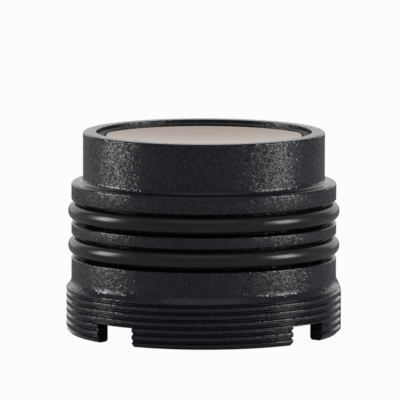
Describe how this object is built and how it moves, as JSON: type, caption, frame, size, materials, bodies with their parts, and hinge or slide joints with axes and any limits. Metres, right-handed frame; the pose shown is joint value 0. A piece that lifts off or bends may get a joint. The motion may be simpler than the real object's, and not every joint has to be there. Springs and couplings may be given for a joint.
{
  "type": "thermal infrared lens",
  "caption": "Screw-in thermal infrared lens: stepped black barrel with outside O-rings, a fine rear thread with spanner slots and a recessed, coated front element.",
  "frame": {"origin": "centre of the rear face, on the optical axis", "axes": "+Z along the optical axis towards the front element, +X and +Y across it"},
  "size_m": [0.038, 0.038, 0.0278],
  "materials": {
    "blasted_black_aluminium": "bead-blasted, black anodised",
    "turned_black_aluminium": "turned, black anodised, satin",
    "black_rubber": "smooth, matt",
    "coated_germanium": "polished, opaque to the eye, antireflection coated",
    "black_film": "matt",
    "steel_shim": "rolled"
  },
  "bodies": {
    "root": {"barrel": "blasted_black_aluminium", "front_body_o_ring": "black_rubber", "rear_body_o_ring": "black_rubber", "cell_o_ring": "black_rubber", "front_lens_seal": "black_rubber", "front_lens": "coated_germanium", "middle_lens": "coated_germanium", "rear_lens": "coated_germanium", "lens_cell": "turned_black_aluminium", "front_retaining_ring": "turned_black_aluminium", "middle_retaining_ring": "turned_black_aluminium", "rear_retaining_ring": "turned_black_aluminium", "cell_lock_ring": "turned_black_aluminium", "stop_spacer": "turned_black_aluminium", "aperture_stop": "turned_black_aluminium", "front_baffle": "turned_black_aluminium", "focus_shim": "steel_shim", "front_lens_washer": "black_film", "middle_lens_washer": "black_film", "rear_lens_washer": "black_film"}
  },
  "joints": []
}
